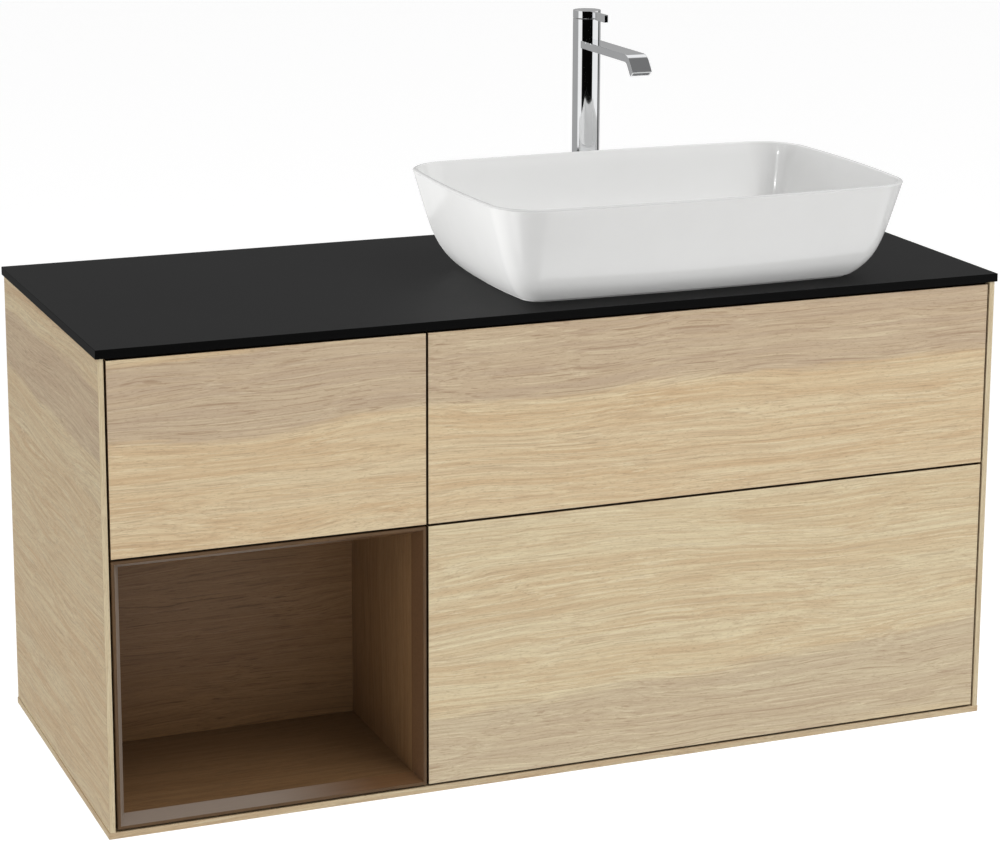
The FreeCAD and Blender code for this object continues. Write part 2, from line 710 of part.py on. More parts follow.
def makeWaste():
    axis = ("basinX", "basinY")
    bore = "wasteBore"
    grip = "pipeRadius + slipClearance"
    flange = turned("wasteTube", [
        (bore, "-wasteTubeLength"), ("wasteTubeRadius", "-wasteTubeLength"),
        ("wasteTubeRadius", "0"), ("wasteFlangeRadius", "0"),
        ("wasteFlangeRadius", "wasteFlangeDrop"), ("wasteFlangeRadius - 5", "wasteFlangeDrop"),
        (bore, "0"),
    ], *axis, "flangeTop")
    bar = block("wasteBar", (f"basinX - {bore} - 1", f"basinX + {bore} + 1"),
                ("basinY - 2.5", "basinY + 2.5"), ("flangeTop - 14", "flangeTop - 8"))
    node("waste_body", fuse("wasteBodyFuse", [flange, bar]))
    node("waste_cover", turned("wasteCover", [
        ("0", "-11"), ("5", "-11"), ("5", "coverLift"), ("coverRadius - 3", "coverLift"),
        ("coverRadius", "coverLift + 1.5"), ("coverRadius", "coverLift + 3"),
        ("coverRadius - 6", "coverLift + 5"), ("0", "coverLift + 6"),
    ], *axis, "floorTop"))
    node("trap_tailpipe", turned("trapTailpipe", tube(
        "pipeRadius - pipeWall", "pipeRadius", "trapTop - trapInletDip", "wasteEnd + tailpipeOverlap"),
        *axis, "0"))

    wide, inside = "trapRadius", "trapRadius - trapWall"
    shell = turned("trapShell", [
        (inside, "trapJoint"), (wide, "trapJoint"), (wide, "trapTop - 4"),
        ("trapNeckRadius", "trapTop"), ("trapNeckRadius", "trapTop + 8"), (grip, "trapTop + 8"),
        (grip, "trapTop - 4"), (inside, "trapTop - 8"),
    ], *axis, "0")
    stub = rod("trapStub", "pipeRadius + 4", "trapStubReach + 4", "basinX",
               "basinY + trapRadius - 4", "trapLevel", towardWall)
    bore = rod("trapStubBore", grip, "trapRadius + trapStubReach", *axis, "trapLevel", towardWall)
    node("trap_body", cut("trapBody", fuse("trapBlank", [shell, stub]), [bore]))
    node("trap_cup", turned("trapCup", [
        ("0", "trapBottom"), ("trapRadius - 4", "trapBottom"), ("trapRadius + 2", "trapBottom + 6"),
        ("trapRadius + 2", "trapJoint + 10"), ("trapRadius + slipClearance", "trapJoint + 10"),
        ("trapRadius + slipClearance", "trapJoint"), (inside, "trapJoint"),
        (inside, "trapBottom + 8"), ("0", "trapBottom + 4"),
    ], *axis, "0"))

    backNut = hexNut("wasteNut", "wasteTubeRadius + wasteNutSpread",
                     "worktopUnder - wasteNutHeight", "worktopUnder",
                     "wasteTubeRadius + slipClearance", *axis)
    neckGrip = "trapNeckRadius + slipClearance"
    inletNut = turned("trapInletNut", [
        (neckGrip, "0"), ("pipeRadius + 9", "0"), ("pipeRadius + 9", "20"), (grip, "20"),
        (grip, "8"), (neckGrip, "8"),
    ], *axis, "trapTop")
    tubeGrip = "wasteTubeRadius + slipClearance"
    unionNut = turned("wasteUnion", [
        (grip, "-8"), ("pipeRadius + 11", "-8"), ("pipeRadius + 11", "14"), (tubeGrip, "14"),
        (tubeGrip, "0"), (grip, "0"),
    ], *axis, "wasteEnd")
    outletNut = turned("trapOutletNut", tube(grip, "pipeRadius + 8", "0", "18"),
                       "basinX", "basinY + trapRadius + trapStubReach", "trapLevel", towardWall)
    node("waste_and_trap_nuts", group("wasteNuts", [backNut, unionNut, inletNut, outletNut]))

    node("trap_outlet_pipe", turned("outletPipe", tube(
        "pipeRadius - pipeWall", "pipeRadius", "0", "-(basinY + trapRadius + 8)"),
        "basinX", "basinY + trapRadius + 8", "trapLevel", towardWall))
    node("wall_rosette", turned("wallRosette", [
        (grip, "0"), ("pipeRadius + 4", "0"), ("rosetteRadius", "rosetteDepth - 2"),
        ("rosetteRadius", "rosetteDepth"), (grip, "rosetteDepth"),
    ], "basinX", "-rosetteDepth", "trapLevel", towardWall))


# ---- tap ----

slope = "sqrt((spoutReach - spoutBend) ^ 2 + spoutDrop ^ 2)"


def slopePoint(depth, back):
    """Point in the spout's mouth: depth below its outer face, back up along the slope."""
    run, drop = "(spoutReach - spoutBend)", "spoutDrop"
    y = f"-spoutReach + (({depth}) * {drop} + ({back}) * {run}) / {slope}"
    z = f"spoutHigh - {drop} + (({back}) * {drop} - ({depth}) * {run}) / {slope}"
    return y, z


def spoutPad(name, low, high, root, over, width):
    """Bent bar between two depths under the spout's outer face, mirrored about its middle."""
    lean = f"(({slope}) - (spoutReach - spoutBend)) / spoutDrop"
    bend = [(f"-spoutBend + ({depth}) * {lean}", f"spoutHigh - ({depth})") for depth in (low, high)]
    corners = [
        (root, f"spoutHigh - ({low})"), bend[0], slopePoint(low, over),
        slopePoint(high, over), bend[1], (root, f"spoutHigh - ({high})"),
    ]
    body = doc.addObject("PartDesign::Body", name)
    sketch = drawProfile(body, "YZ_Plane", corners)
    pad = body.newObject("PartDesign::Pad", name + "Pad")
    pad.Profile = sketch
    pad.Midplane = True
    bind(pad, "Length", width)
    at(body, "basinX", "tapY", "0")
    return body, pad, bend


def roundBends(body, pad, bend, radii):
    """Fillet the two bends of a bar that spoutPad made."""
    doc.recompute()
    for i, ((y, z), radius) in enumerate(zip(bend, radii)):
        spot = (value(y), value(z))
        solid = body.Tip
        names = [
            f"Edge{count}" for count, edge in enumerate(solid.Shape.Edges, start=1)
            if all(math.dist((v.Y, v.Z), spot) < 0.01 for v in edge.Vertexes)
        ]
        fillet = body.newObject("PartDesign::Fillet", f"{body.Name}Bend{i}")
        fillet.Base = (solid, names)
        bind(fillet, "Radius", radius)
        doc.recompute()


def makeTap():
    axis = ("basinX", "tapY")
    node("tap_seal_ring", turned("tapSealRing", tube(
        "shankRadius + 0.5", "columnRadius - 0.5", "cabinetHeight", "columnLow"), *axis, "0"))
    bore = "cartridgeRadius + slipClearance"
    shank = "shankRadius + slipClearance"
    column = turned("tapColumn", [
        (shank, "columnLow"), ("columnRadius", "columnLow"), ("columnRadius", "columnTop"),
        (bore, "columnTop"), (bore, "cartridgeLow"), ("waterwayRadius", "cartridgeLow"),
        ("waterwayRadius", "columnLow + shankGrip"), (shank, "columnLow + shankGrip"),
    ], *axis, "0")
    skin = "spoutSkin"
    port = block("spoutPort", (f"basinX - spoutWidth / 2 + {skin}", f"basinX + spoutWidth / 2 - {skin}"),
                 ("tapY - columnRadius - 1", "tapY - cartridgeRadius + 4"),
                 (f"spoutLow + {skin}", f"spoutHigh - {skin}"))
    node("tap_body", cut("tapBody", column, [port]))

    bar, pad, bend = spoutPad("spoutBar", "0", "spoutThickness", "-columnRadius / 2", "0",
                              "spoutWidth")
    roundBends(bar, pad, bend, ("spoutBendRadius", "spoutBendRadius - spoutInnerLess"))
    channel, pad, bend = spoutPad("spoutChannel", skin, f"spoutThickness - {skin}", "0", "-3",
                                  f"spoutWidth - 2 * {skin}")
    trunk = rod("spoutTrunk", "columnRadius", "60", *axis, "spoutLow - 20")
    node("tap_spout", cut("tapSpout", bar, [channel, trunk]))
    slack = f"({skin} + slipClearance)"
    insert = doc.addObject("PartDesign::Body", "aeratorBody")
    sketch = drawProfile(insert, "YZ_Plane", [
        slopePoint(slack, "1"), slopePoint(slack, "aeratorLength"),
        slopePoint(f"spoutThickness - {slack}", "aeratorLength"),
        slopePoint(f"spoutThickness - {slack}", "1"),
    ])
    pad = insert.newObject("PartDesign::Pad", "aeratorPad")
    pad.Profile = sketch
    pad.Midplane = True
    bind(pad, "Length", f"spoutWidth - 2 * {slack}")
    at(insert, *axis, "0")
    node("tap_aerator", insert)

    well = "cartridgeTop - 9"
    node("tap_cartridge", turned("tapCartridge", [
        ("0", "cartridgeLow"), ("cartridgeRadius", "cartridgeLow"),
        ("cartridgeRadius", "cartridgeTop"), ("stemWell", "cartridgeTop"), ("stemWell", well),
        ("0", well),
    ], *axis, "0"))
    node("cartridge_nut", turned("cartridgeNut", tube(
        "carrierRadius + 0.4", "cartridgeRadius", "cartridgeTop", "columnTop - 0.4"), *axis, "0"))
    node("cartridge_carrier", turned("cartridgeCarrier", tube(
        "stemWell + 0.6", "carrierRadius", "cartridgeTop + 0.1", "cartridgeTop + carrierHeight"),
        *axis, "0"))
    node("tap_cap", turned("tapCap", [
        ("0", "capLow - 9"), ("stemRadius", "capLow - 9"), ("stemRadius", "capLow"),
        ("columnRadius", "capLow"), ("columnRadius", "tapTop"), ("0", "tapTop"),
    ], *axis, "0"))
    plate = block("leverBlank", ("basinX - leverWidth / 2", "basinX + leverWidth / 2"),
                  ("tapY - leverReach", "tapY"), ("capLow", "tapTop"))
    hub = rod("leverHub", "columnRadius", "capHeight", *axis, "capLow")
    node("tap_lever", cut("tapLever", plate, [hub]))

    low = "columnLow + shankGrip - shankLength"
    holes = [
        rod(f"inletHole{sign}", "inletHoleRadius", "shankLength", f"basinX + {sign} * inletPitch / 2",
            "tapY", low)
        for sign in (-1, 1)
    ]
    node("tap_shank", cut("tapShank", rod("shankBlank", "shankRadius", "shankLength", *axis, low),
                          holes))
    washerLow = "worktopUnder - washerThickness"
    washer = turned("clampWasher", tube(shank, "tapHoleRadius + washerLap", washerLow, "worktopUnder"),
                    *axis, "0")
    nut = hexNut("tapNut", "tapNutReach", f"{washerLow} - tapNutHeight", washerLow, shank, *axis)
    node("tap_fixing_set", group("tapFixing", [washer, nut]))


makeCarcass()
makeNiche()
makeHangers()
for name, spec in drawers.items():
    makeDrawer(name, spec)
node("cabinet_rails", group("cabinetRails", fixedRails))
node("latch_cases", group("latchCases", latchCases))
makeBasin()
makeWaste()
makeTap()
doc.recompute()

for thing in doc.Objects:
    if "Invalid" in thing.State or "Error" in thing.State:
        raise RuntimeError(f"{thing.Name} didn't compute: {thing.State}")
os.makedirs("parts", exist_ok=True)
for piece in nodes:
    if piece.Shape.isNull() or not piece.Shape.isValid() or piece.Shape.Volume <= 0:
        raise RuntimeError(f"{piece.Label} has no valid solid")
    piece.Shape.exportStep(f"parts/{piece.Label}.step")
print(f"{len(nodes)} nodes, {sum(len(piece.Shape.Solids) for piece in nodes)} solids")
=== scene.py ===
import json
import math

import bmesh
import bpy
from mathutils import Matrix, Vector

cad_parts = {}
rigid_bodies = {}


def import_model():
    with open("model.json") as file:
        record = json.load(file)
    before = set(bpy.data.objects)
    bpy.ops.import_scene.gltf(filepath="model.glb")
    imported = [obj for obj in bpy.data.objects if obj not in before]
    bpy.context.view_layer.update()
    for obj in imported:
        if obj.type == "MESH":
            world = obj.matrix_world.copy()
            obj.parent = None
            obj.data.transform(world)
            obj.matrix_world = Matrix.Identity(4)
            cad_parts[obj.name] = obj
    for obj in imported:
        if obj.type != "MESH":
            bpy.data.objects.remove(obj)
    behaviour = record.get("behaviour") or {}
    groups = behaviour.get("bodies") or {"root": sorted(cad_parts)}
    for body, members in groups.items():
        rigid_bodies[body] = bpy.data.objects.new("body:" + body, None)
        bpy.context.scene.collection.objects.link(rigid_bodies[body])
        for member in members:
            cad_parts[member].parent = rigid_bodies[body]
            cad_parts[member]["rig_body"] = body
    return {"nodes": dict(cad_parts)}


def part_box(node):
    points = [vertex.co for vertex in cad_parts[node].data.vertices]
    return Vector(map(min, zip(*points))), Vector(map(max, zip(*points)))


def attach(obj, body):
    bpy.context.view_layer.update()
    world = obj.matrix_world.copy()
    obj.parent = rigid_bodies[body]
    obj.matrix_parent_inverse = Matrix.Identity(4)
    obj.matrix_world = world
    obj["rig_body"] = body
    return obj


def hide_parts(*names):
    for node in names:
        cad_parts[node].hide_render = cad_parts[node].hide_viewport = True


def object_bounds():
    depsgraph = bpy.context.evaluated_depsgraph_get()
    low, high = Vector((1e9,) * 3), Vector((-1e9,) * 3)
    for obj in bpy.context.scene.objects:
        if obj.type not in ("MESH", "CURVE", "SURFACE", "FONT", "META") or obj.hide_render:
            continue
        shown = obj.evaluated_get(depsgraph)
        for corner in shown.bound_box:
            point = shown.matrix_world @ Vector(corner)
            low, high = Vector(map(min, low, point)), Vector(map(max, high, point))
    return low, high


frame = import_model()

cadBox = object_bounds()
print("frame loaded:", len(frame["nodes"]), "nodes")
mm = 0.001


# ---- shader maths ----

class Wire:
    # one socket of a shader; arithmetic on it adds Math nodes
    def __init__(self, finish, socket):
        self.finish = finish
        self.socket = socket

    def calc(self, operation, *values):
        return self.finish.node("ShaderNodeMath", {"operation": operation}, dict(enumerate(values)))

    def __add__(self, other):
        return self.calc("ADD", self, other)

    def __radd__(self, other):
        return self.calc("ADD", other, self)

    def __sub__(self, other):
        return self.calc("SUBTRACT", self, other)

    def __rsub__(self, other):
        return self.calc("SUBTRACT", other, self)

    def __mul__(self, other):
        return self.calc("MULTIPLY", self, other)

    def __rmul__(self, other):
        return self.calc("MULTIPLY", other, self)

    def __truediv__(self, other):
        return self.calc("DIVIDE", self, other)

    def __pow__(self, other):
        return self.calc("POWER", self, other)

    def __abs__(self):
        return self.calc("ABSOLUTE", self)

    def between(self, low, high):  # smooth 0..1 as the value goes from low to high
        return self.finish.node("ShaderNodeMapRange", {"interpolation_type": "SMOOTHSTEP"},
                                {"Value": self, "From Min": low, "From Max": high})


def tint(code, alpha=1.0):  # screen colour such as "C8B48C" as a linear one
    parts = [int(code[i:i + 2], 16) / 255 for i in (0, 2, 4)]
    return [p / 12.92 if p <= 0.04045 else ((p + 0.055) / 1.055) ** 2.4 for p in parts] + [alpha]


class Finish:
    # a material being made; its shader is one Principled node
    def __init__(self, name, tree=None):
        if tree is None:
            self.material = bpy.data.materials.new(name)
            self.material.use_nodes = True
            tree = self.material.node_tree
            self.shader = tree.nodes["Principled BSDF"]
        self.tree = tree

    def node(self, kind, settings=None, sockets=None, output=0):
        made = self.tree.nodes.new(kind)
        for key, setting in (settings or {}).items():
            if key == "stops":
                fillRamp(made.color_ramp, setting)
            else:
                setattr(made, key, setting)
        self.fill(made, sockets or {})
        return Wire(self, made.outputs[output])

    def fill(self, made, sockets):
        for key, item in sockets.items():
            if isinstance(item, Wire):
                self.tree.links.new(item.socket, made.inputs[key])
            else:
                made.inputs[key].default_value = item

    def set(self, **sockets):
        self.fill(self.shader, {spell(key): item for key, item in sockets.items()})
        return self

    def coords(self, shift=(0, 0, 0)):
        place = self.node("ShaderNodeTexCoord", output="Object")
        if not any(shift):
            return place
        return self.node("ShaderNodeVectorMath", {"operation": "ADD"}, {0: place, 1: shift})

    def stretch(self, place, scale):
        return self.node("ShaderNodeVectorMath", {"operation": "MULTIPLY"}, {0: place, 1: scale})

    def noise(self, place, scale, detail=2.0, rough=0.5, output=0):
        return self.node("ShaderNodeTexNoise", sockets={
            "Vector": self.stretch(place, scale), "Scale": 1.0, "Detail": detail, "Roughness": rough,
        }, output=output)

    def mix(self, mask, first, second, mode="MIX"):
        return self.node("ShaderNodeMix", {"data_type": "RGBA", "blend_type": mode},
                         {0: mask, 6: first, 7: second}, output=2)

    def bump(self, height, strength, distance):
        self.set(normal=self.node("ShaderNodeBump", sockets={
            "Height": height, "Strength": strength, "Distance": distance}))
        return self


def spell(key):  # baseColor -> Base Color
    words = "".join(" " + letter if letter.isupper() else letter for letter in key)
    return words.title().replace("Ior", "IOR")


def fillRamp(ramp, stops):
    while len(ramp.elements) < len(stops):
        ramp.elements.new(1.0)
    for element, (place, colour) in zip(ramp.elements, stops):
        element.position = place
        element.color = colour


# ---- mesh helpers ----

def eased(points, closed=True, steps=4):
    # outline with round corners; a point is (a, b) or (a, b, radius)
    made = []
    count = len(points)
    for i, point in enumerate(points):
        here = Vector(point[:2])
        radius = point[2] if len(point) > 2 else 0
        if not radius or (not closed and i in (0, count - 1)):
            made.append(here)
            continue
        before = Vector(points[i - 1][:2]) - here
        after = Vector(points[(i + 1) % count][:2]) - here
        half = before.angle(after) / 2
        reach = min(radius / math.tan(half), 0.49 * before.length, 0.49 * after.length)
        start, end = here + before.normalized() * reach, here + after.normalized() * reach
        for step in range(steps + 1):
            share = step / steps
            made.append(start * (1 - share) ** 2 + here * 2 * share * (1 - share) + end * share ** 2)
    return made


def bridge(mesh, first, second, closed=True, index=0):
    count = len(first)
    for i in range(count if closed else count - 1):
        j = (i + 1) % count
        corners = [first[i], first[j], second[j], second[i]]
        corners = list(dict.fromkeys(corners))
        if len(corners) > 2:
            mesh.faces.new(corners).material_index = index


def skin(mesh, rings, capStart=True, capEnd=True, index=0):
    # closed rings of points joined one after another
    rows = [[mesh.verts.new(p) for p in ring] for ring in rings]
    for first, second in zip(rows, rows[1:]):
        bridge(mesh, first, second, index=index)
    if capStart:
        mesh.faces.new(rows[0][::-1]).material_index = index
    if capEnd:
        mesh.faces.new(rows[-1]).material_index = index
    return rows


def lathe(mesh, profile, centre, turn=None, steps=96, index=0, ease=4):
    # profile: (radius, height[, rounding]) from one end to the other; a radius of 0 closes on the axis
    turn = turn or Matrix.Identity(3)
    line = eased(profile, closed=profile[0][0] > 0, steps=ease)
    if profile[0][0] > 0:
        line.append(line[0])
    rows = []
    for radius, height in line:
        if radius < 1e-7:
            rows.append([mesh.verts.new(centre + turn @ Vector((0, 0, height)))] * steps)
            continue
        ring = []
        for i in range(steps):
            angle = 2 * math.pi * i / steps
            spot = Vector((radius * math.cos(angle), radius * math.sin(angle), height))
            ring.append(mesh.verts.new(centre + turn @ spot))
        rows.append(ring)
    if profile[0][0] > 0:
        for spare in rows.pop():
            mesh.verts.remove(spare)
        rows.append(rows[0])
    for first, second in zip(rows, rows[1:]):
        bridge(mesh, first, second, index=index)


def board(mesh, low, high, ease=0.5 * mm, index=0, steps=2, edging=None):
    # box with softened edges; edging is (axis, index) for the faces that look away from that axis
    made = bmesh.ops.create_cube(mesh, size=1.0)["verts"]
    low, high = Vector(low), Vector(high)
    for vert in made:
        vert.co = Vector([low[k] + (vert.co[k] + 0.5) * (high[k] - low[k]) for k in range(3)])
    edges = list({edge for vert in made for edge in vert.link_edges})
    for face in {face for vert in made for face in vert.link_faces}:
        face.normal_update()
        face.material_index = edging[1] if edging and abs(face.normal[edging[0]]) < 0.5 else index
    if ease:
        bmesh.ops.bevel(mesh, geom=edges, offset=ease, segments=steps, profile=0.5, affect="EDGES",
                        clamp_overlap=True, material=index)


def bar(mesh, outline, start, end, place, index=0, nose=0.0):
    # straight bar of one section; place turns (a, b, along) into a point
    stations = [(start, 0.0), (end, 0.0)]
    if nose:
        stations = [(start, nose), (start + nose, 0.0), (end - nose, 0.0), (end, nose)]
    middle = sum(outline, Vector((0, 0))) / len(outline)
    rings = []
    for along, pull in stations:
        ring = []
        for p in outline:
            away = p - middle
            shrink = max(0.0, 1 - pull / max(away.length, 1e-6))
            spot = middle + away * shrink
            ring.append(place(spot[0], spot[1], along))
        rings.append(ring)
    skin(mesh, rings, index=index)


def piece(name, mesh, finishes, node, nodes=None, sharp=35):
    # a finished mesh that stands for its CAD node and rides on the same body
    bmesh.ops.recalc_face_normals(mesh, faces=mesh.faces)
    data = bpy.data.meshes.new(name)
    mesh.to_mesh(data)
    mesh.free()
    made = bpy.data.objects.new(name, data)
    bpy.context.scene.collection.objects.link(made)
    for finish in finishes:
        data.materials.append(finish.material)
    data.shade_smooth()
    limit = math.radians(sharp)
    angles = bmesh.new()
    angles.from_mesh(data)
    for edge in angles.edges:
        edge.smooth = len(edge.link_faces) != 2 or edge.calc_face_angle(0) < limit
    angles.to_mesh(data)
    angles.free()
    weigh = made.modifiers.new("evenFaces", "WEIGHTED_NORMAL")  # keeps flat faces flat beside small bevels
    weigh.keep_sharp = True
    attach(made, frame["nodes"][node]["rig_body"])
    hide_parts(*(nodes or [node]))
    return made


def dress(finish, *nodes):  # CAD nodes whose shape is right get their finish
    for name in nodes:
        data = frame["nodes"][name].data
        data.materials.clear()
        data.materials.append(finish.material)


# ---- finishes ----

oak = {
    "pale": "E6D3AC", "warm": "D4B78F", "light": "ECDEBA", "grey": "C2AD94", "line": "A4876A", "pore": "8E7355",
    "gain": 0.95, "sway": 60 * mm, "ripple": 3 * mm, "bands": 0.95, "streaks": 0.46, "lines": 0.6, "lights": 0.5,
    "fibres": 0.2, "pores": 0.3, "roughness": 0.5, "sheen": 0.4, "bump": 0.3,
}
sideTone = dict(oak, pale="E8D5AB", warm="D8BA90", grey="C7AF93", gain=0.93)
lowerTone = dict(oak, pale="E4D6B0", warm="D2BA94", light="EBDFBD", grey="C1B097", gain=0.975)
smoked = dict(oak, pale="755A3C", warm="664C32", light="7E6246", grey="6B543D", line="37281A", pore="281C12",
              bands=0.6, streaks=0.45, lines=0.55, lights=0.25, fibres=0.2, pores=0.2, roughness=0.36)


def veneer(name, look, along, shift, zones=(), rise=0.0):
    # along is the grain's axis, 0 to 2; zones are (height, half width, strength) of greyer bands
    finish = Finish(name)
    place = finish.coords(shift)

    def grainNoise(where, width, length, detail=2.0, rough=0.5, output=0):
        scale = [1 / (length * mm) if k == along else 1 / (width * mm) for k in range(3)]
        return finish.noise(where, scale, detail, rough, output)

    def drifted(where, width, length, amount):  # pushes the grain sideways so that it wanders
        drift = grainNoise(where, width, length, 2, 0.5, "Color")
        drift = finish.node("ShaderNodeVectorMath", {"operation": "SUBTRACT"}, {0: drift, 1: (0.5, 0.5, 0.5)})
        drift = finish.stretch(drift, [0 if k == along else amount for k in range(3)])
        return finish.node("ShaderNodeVectorMath", {"operation": "ADD"}, {0: where, 1: drift})

    def shade(key):
        return [channel * look["gain"] for channel in tint(look[key])[:3]] + [1]

    grain = drifted(place, 130, 520, look["sway"])
    grain = drifted(grain, 16, 60, look["ripple"])
    clouds = grainNoise(grain, 24, 700, 2, 0.5).between(0.38, 0.62)
    bands = grainNoise(grain, 4.8, 380, 2, 0.5).between(0.36, 0.64)
    streaks = grainNoise(grain, 1.9, 90, 2, 0.5).between(0.48, 0.7)
    lines = grainNoise(grain, 1.7, 330, 1, 0.5).between(0.6, 0.7)
    lights = (1 - grainNoise(grain, 2.4, 230, 1, 0.5)).between(0.58, 0.7)
    fibres = grainNoise(grain, 0.9, 20, 2, 0.6).between(0.35, 0.7)
    pores = grainNoise(grain, 0.8, 7, 1).between(0.6, 0.7)
    up = finish.node("ShaderNodeSeparateXYZ", sockets={"Vector": grain}, output="Z")
    across = finish.node("ShaderNodeSeparateXYZ", sockets={"Vector": place}, output="X")
    ragged = grainNoise(grain, 9, 130, 3, 0.6)
    greyness = clouds * 0.15
    for level, halfWidth, strength in zones:
        away = abs(up - across * rise - (level + shift[2] - rise * shift[0])) / halfWidth
        away = away + (ragged - 0.5) * 0.7
        greyness = greyness.calc("MAXIMUM", greyness, (1 - away.between(0.82, 1.14)) * strength)
    colour = finish.mix((bands * 0.6 + clouds * 0.4) * look["bands"], shade("warm"), shade("pale"))
    colour = finish.mix(greyness * (1 - bands * 0.25), colour, shade("grey"))
    colour = finish.mix(lights * look["lights"] * (1 - greyness * 0.4), colour, shade("light"))
    colour = finish.mix(streaks * look["streaks"] * (0.5 + greyness * 0.3), colour, shade("line"))
    colour = finish.mix(lines * look["lines"] * (0.45 + greyness * 0.7), colour, shade("line"))
    colour = finish.mix(fibres * look["fibres"], colour, shade("line"))
    colour = finish.mix(pores * look["pores"], colour, shade("pore"))
    finish.set(baseColor=colour, roughness=look["roughness"] + fibres * 0.08 - bands * 0.05,
               specularIorLevel=look["sheen"])
    finish.bump(1 - fibres * 0.5 - pores, look["bump"], 0.12 * mm)
    return finish


def plainFinish(name, code, roughness, metallic=0.0, grit=0.6 * mm, depth=0.05 * mm, mottle=0.06):
    # even colour with a fine grit, as on powder coat, board film, cast or moulded parts
    finish = Finish(name)
    place = finish.coords()
    grain = finish.noise(place, [1 / grit] * 3, 2)
    cloud = finish.noise(place, [1 / (60 * mm)] * 3, 2)
    base = tint(code)
    dark = [channel * (1 - 2 * mottle) for channel in base[:3]] + [1.0]
    finish.set(baseColor=finish.mix((cloud + grain) / 2, dark, base),
               roughness=roughness + (grain - 0.5) * 0.12, metallic=metallic)
    return finish.bump(grain, 0.3, depth)


def brushed(name, code, roughness, along):
    finish = Finish(name)
    scale = [1 / (25 * mm) if k == along else 1 / (0.35 * mm) for k in range(3)]
    lines = finish.noise(finish.coords(), scale, 3)
    base = tint(code)
    dark = [channel * 0.86 for channel in base[:3]] + [1.0]
    finish.set(baseColor=finish.mix(lines, dark, base), roughness=roughness + (lines - 0.5) * 0.2,
               metallic=1.0)
    return finish.bump(lines, 0.15, 0.02 * mm)


def chromeFinish():
    finish = Finish("polishedChrome")
    haze = finish.noise(finish.coords(), [1 / (35 * mm)] * 3, 3)
    finish.set(baseColor=finish.mix(haze, tint("E4E5E7"), tint("EDEEEF")), metallic=1.0,
               roughness=0.035 + haze * 0.02)
    return finish


def glazeFinish(name, low, high):
    finish = Finish(name)
    ripple = finish.noise(finish.coords(), [1 / (45 * mm)] * 3, 3)
    finish.set(baseColor=finish.mix(ripple, tint(low), tint(high)), roughness=0.14 + ripple * 0.04,
               coatWeight=0.2, coatRoughness=0.08)
    return finish.bump(ripple, 0.05, 0.2 * mm)


def worktopFinish(name, low, high, roughness, sheen):
    finish = Finish(name)
    place = finish.coords()
    grit = finish.noise(place, [1 / (0.5 * mm)] * 3, 2)
    cloud = finish.noise(place, [1 / (160 * mm)] * 3, 2)
    finish.set(baseColor=finish.mix(cloud, tint(low), tint(high)), roughness=roughness + (grit - 0.5) * 0.1,
               specularIorLevel=sheen)
    return finish.bump(grit, 0.2, 0.04 * mm)


chrome = chromeFinish()
# one white ceramic in two painted copies: the outside darker as painted shade, the inside lighter as painted light
shadedOuterGlaze = glazeFinish("shadedOuterGlaze", "D3D3D2", "D7D7D6")
litInnerGlaze = glazeFinish("litInnerGlaze", "EAEAE9", "EDEDEC")
laminate = worktopFinish("mattBlackLaminate", "171717", "1A1A1A", 0.6, 0.1)
laminateEdge = worktopFinish("blackEdge", "070707", "0A0A0A", 0.5, 0.08)
sideOak = veneer("sideOak", sideTone, 1, (3.1, 0.7, 5.3), ((-0.035, 0.045, 0.7),))
edgeOak = veneer("edgeOak", dict(oak, pale="DCCDAB", warm="CFBD98", light="E6DABC"), 2, (7.7, 2.1, 0.4))
# painted shade: dark brown for the fronts' edge faces, standing in for the shadow in the gaps between fronts
shadedEdgeOak = plainFinish("shadedEdgeOak", "5A432A", 0.6)
bottomOak = veneer("bottomOak", dict(oak, gain=0.8), 0, (1.9, 4.4, 8.2))
nicheOak = veneer("nicheOak", dict(smoked, gain=1.1), 0, (2.6, 5.8, 1.1))
# painted light: the niche's back, floor and walls are the smoked oak brightened by their gain, standing in for light
# reaching into the recess
nicheBack = veneer("nicheBack", dict(smoked, gain=2.1, lines=0.85, lights=0.35), 0, (5.2, 3.8, 4.1))
nicheFloor = veneer("nicheFloor", dict(smoked, gain=1.25), 0, (2.2, 4.8, 6.1))
nicheWall = veneer("nicheWall", dict(smoked, gain=2.0), 2, (1.2, 6.3, 3.3))
bevelOak = veneer("bevelOak", dict(smoked, gain=0.95), 0, (2.6, 5.8, 1.1))
bevelUpright = veneer("bevelUpright", dict(smoked, gain=0.95), 2, (6.2, 0.3, 2.9))
carcassFilm = plainFinish("carcassFilm", "1C1511", 0.6)
drawerFilm = plainFinish("drawerFilm", "5C5A58", 0.55)
drawerCoat = plainFinish("drawerCoat", "55565A", 0.38, depth=0.03 * mm)
zinc = brushed("zincSteel", "C4C7CA", 0.32, 1)
castZinc = plainFinish("castZinc", "A9ABAD", 0.4, metallic=0.9, grit=0.9 * mm)
greyPlastic = plainFinish("greyPlastic", "8C8D90", 0.42)
sealRubber = plainFinish("sealRubber", "C9C9C6", 0.6)
brass = brushed("brass", "D8B168", 0.28, 2)
whitePlastic = plainFinish("whitePlastic", "E9E8E2", 0.35)
print("finishes made:", len(bpy.data.materials))


# ---- fronts, panels and worktop ----

fronts = {
    "ease": 0.45 * mm,
    "zones": {"upper_left": ((0.006, 0.047, 0.9),), "upper_right": ((0.004, 0.045, 0.85),),
              "lower_right": ((-0.505, 0.058, 0.65),)},
    "rise": {"upper_left": 0.02, "upper_right": 0.0, "lower_right": 0.068},
    "shift": {"upper_left": (0.4, 1.7, 3.6), "upper_right": (2.2, 6.1, 9.4), "lower_right": (4.9, 3.3, 6.8)},
}


